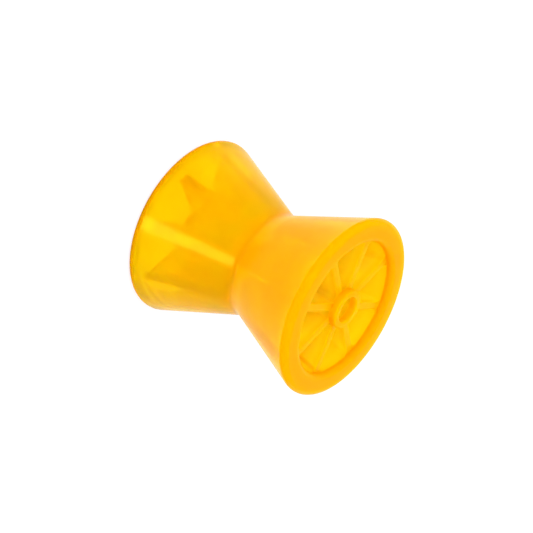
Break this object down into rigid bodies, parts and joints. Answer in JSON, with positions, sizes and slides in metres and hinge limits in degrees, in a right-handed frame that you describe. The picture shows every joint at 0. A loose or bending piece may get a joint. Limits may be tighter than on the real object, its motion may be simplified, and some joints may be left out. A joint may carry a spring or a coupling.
{
  "type": "boat trailer roller",
  "caption": "Hourglass bow roller moulded in clear amber plastic, with a plain shaft bore and spoked pockets in both ends.",
  "frame": {"origin": "centre of the lower end plane, on the bore's axis", "axes": "+Z along the bore's axis, towards the upper end; +X through the middle of a pocket in each end"},
  "size_m": [0.0932, 0.0932, 0.1016],
  "materials": {
    "amber_plastic": "glossy, clear amber polyurethane, tinted right through"
  },
  "bodies": {
    "root": {"roller": "amber_plastic"}
  },
  "joints": []
}
